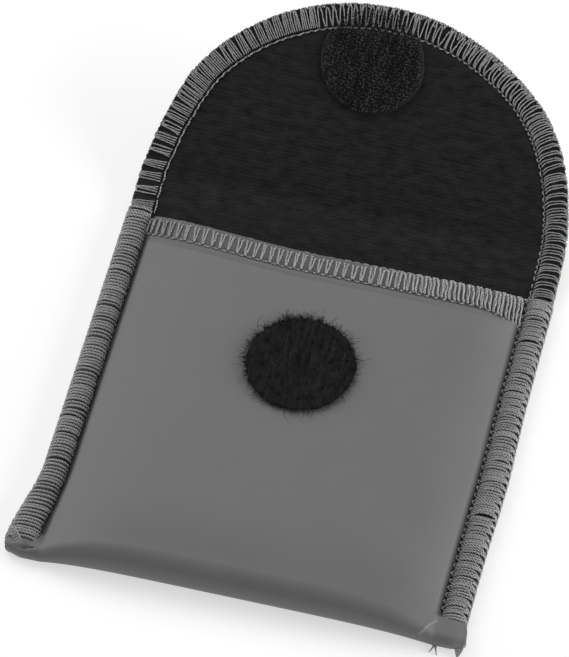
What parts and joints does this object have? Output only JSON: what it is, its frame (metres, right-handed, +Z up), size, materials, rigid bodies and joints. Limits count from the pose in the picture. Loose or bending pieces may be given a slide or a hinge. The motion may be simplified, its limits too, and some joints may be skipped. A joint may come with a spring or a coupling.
{
  "type": "hearing aid case",
  "caption": "Soft lined leatherette pouch for hearing aids: a folded pocket with overlocked edges and a rounded flap that closes on a hook-and-loop coin.",
  "frame": {"origin": "under the middle of the pouch's box, on the surface that it lies on", "axes": "+Z up, out of the pocket's front; +Y from the bottom fold to the flap; +X across the width"},
  "size_m": [0.0668, 0.0954, 0.0212],
  "materials": {
    "leatherette": "matt fine grain",
    "foam": "thin laminated foam",
    "lining": "black ribbed knit",
    "thread": "spun overlock thread",
    "hook_and_loop": "black hook and loop",
    "adhesive": "clear acrylic adhesive film"
  },
  "bodies": {
    "pouch": {"pouch_skin": "leatherette", "pouch_foam": "foam", "pouch_lining": "lining", "mouth_upper_looper": "thread", "mouth_lower_looper": "thread", "mouth_needle_thread": "thread", "left_side_upper_looper": "thread", "left_side_lower_looper": "thread", "left_side_needle_thread": "thread", "right_side_upper_looper": "thread", "right_side_lower_looper": "thread", "right_side_needle_thread": "thread", "left_thread_tail": "thread", "right_thread_tail": "thread", "loop_coin_adhesive": "adhesive", "loop_coin_backing": "hook_and_loop", "loop_coin_pile": "hook_and_loop"},
    "neck": {"neck_skin": "leatherette", "neck_foam": "foam", "neck_lining": "lining", "neck_left_upper_looper": "thread", "neck_left_lower_looper": "thread", "neck_left_needle_thread": "thread", "neck_right_upper_looper": "thread", "neck_right_lower_looper": "thread", "neck_right_needle_thread": "thread"},
    "flap": {"flap_skin": "leatherette", "flap_foam": "foam", "flap_lining": "lining", "rim_upper_looper": "thread", "rim_lower_looper": "thread", "rim_needle_thread": "thread", "hook_coin_adhesive": "adhesive", "hook_coin_backing": "hook_and_loop", "hook_coin_hooks": "hook_and_loop"}
  },
  "joints": [
    {"name": "neck_fold", "type": "hinge", "parent": "pouch", "child": "neck", "pos_m": [0, 0.01489, 0.0012], "axis": [1, 0, 0], "range_deg": [-17.6, 72.4]},
    {"name": "flap_fold", "type": "hinge", "parent": "neck", "child": "flap", "pos_m": [0, 0.02228, 0.00354], "axis": [1, 0, 0], "range_deg": [-17.6, 72.4]}
  ],
  "couplings": [
    {"joint": "flap_fold", "follows": "neck_fold", "ratio": 1}
  ]
}
